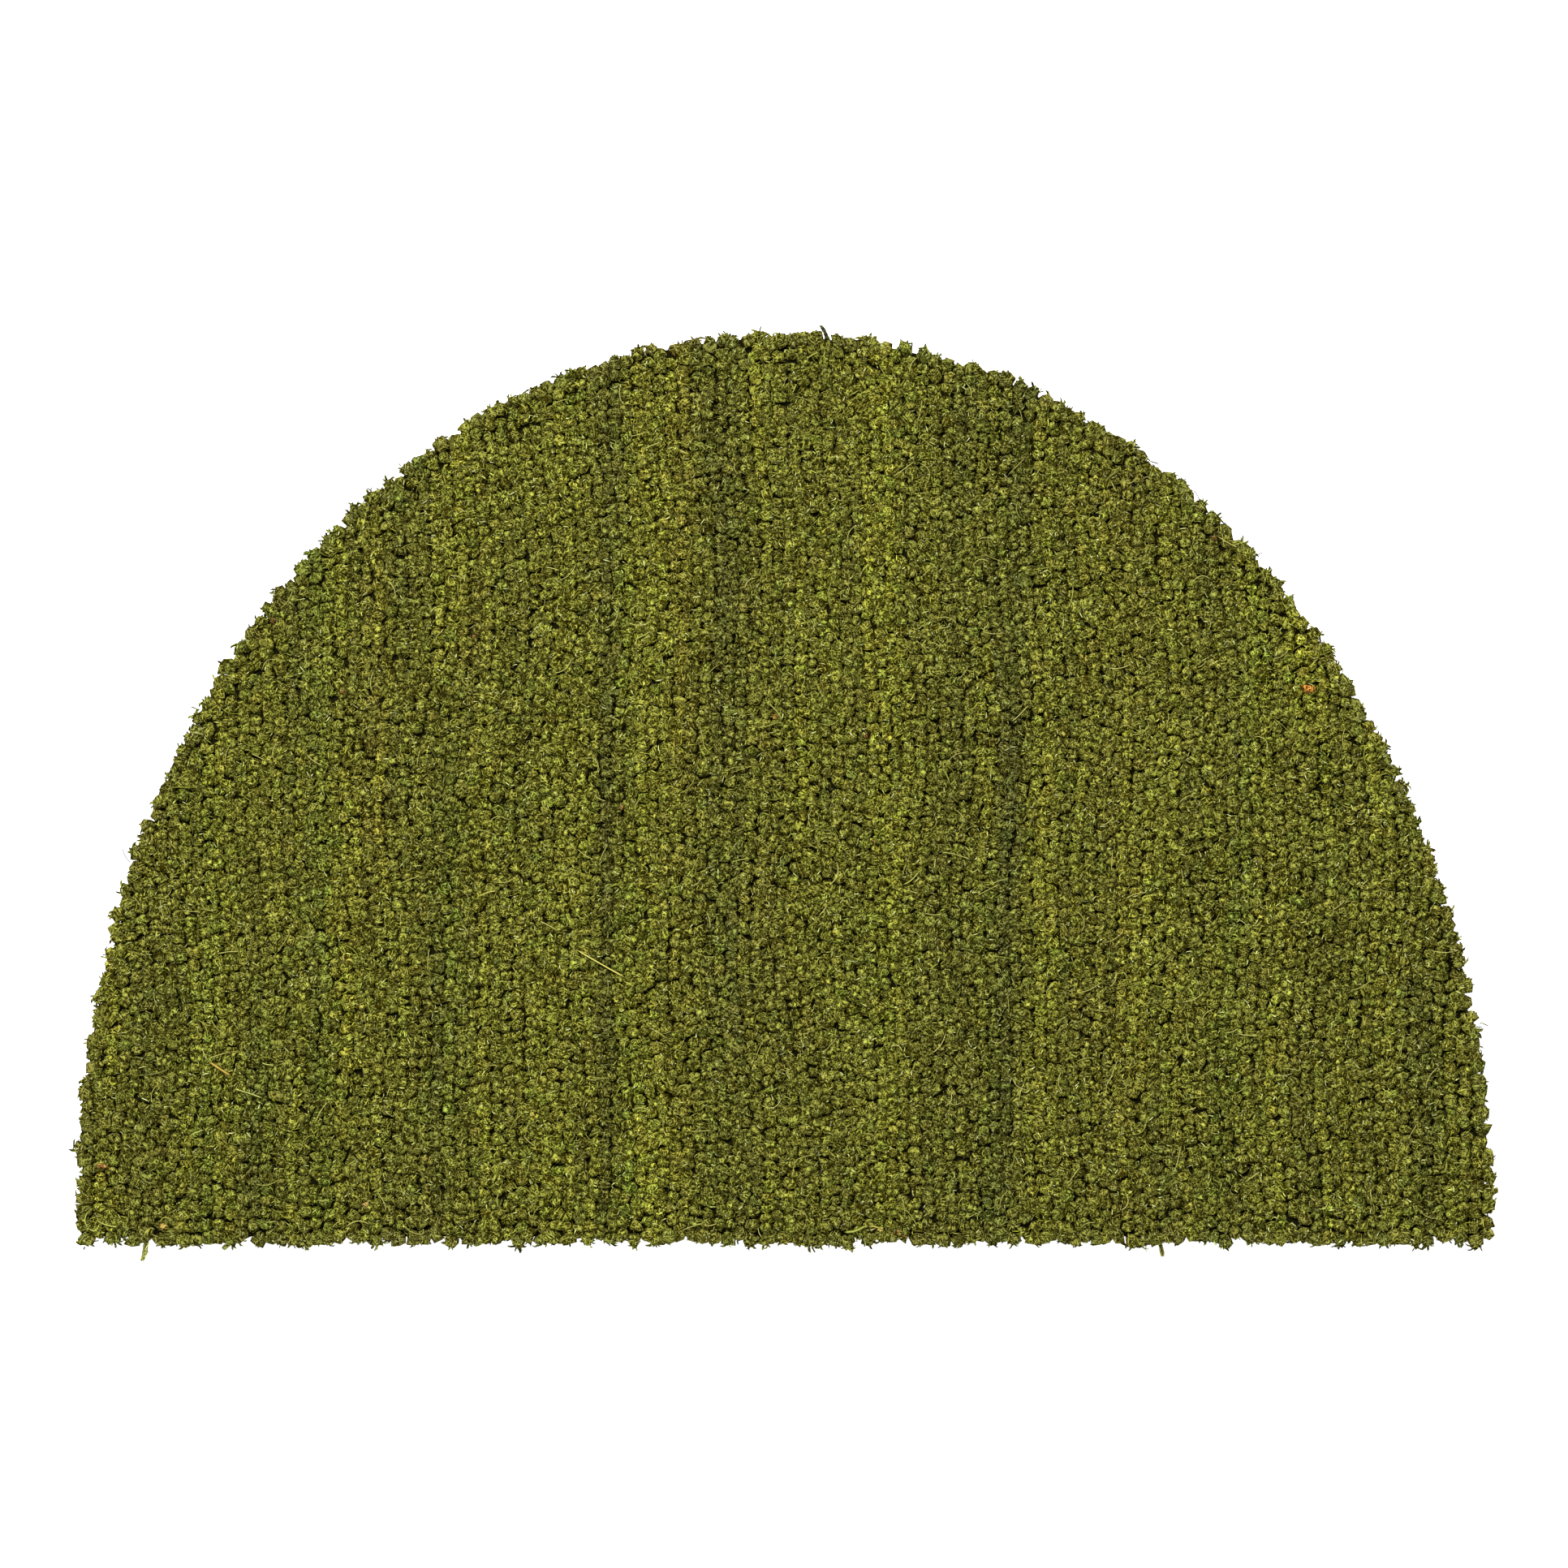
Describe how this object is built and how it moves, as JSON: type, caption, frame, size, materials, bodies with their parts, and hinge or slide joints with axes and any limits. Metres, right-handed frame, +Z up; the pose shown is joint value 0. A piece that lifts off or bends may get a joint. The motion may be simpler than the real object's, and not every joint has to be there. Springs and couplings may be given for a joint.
{
  "type": "half round doormat",
  "caption": "Flat half round doormat: a dense cut pile of dyed coconut fibre yarn ends on a thin dark backing sheet, with a straight front edge and a knobbly rim.",
  "frame": {"origin": "middle of the mat's underside: halfway along its width and its depth, on the floor", "axes": "+X along the straight edge, +Y from the straight edge towards the crown of the arc, +Z up out of the pile"},
  "size_m": [0.7077, 0.4574, 0.018],
  "materials": {
    "backing": "matt dark flexible sheet with a cut edge",
    "pile": "dull moss green dyed coconut fibre, cut yarn ends with loose straw coloured fibres"
  },
  "bodies": {
    "root": {"backing": "backing", "pile": "pile"}
  },
  "joints": []
}
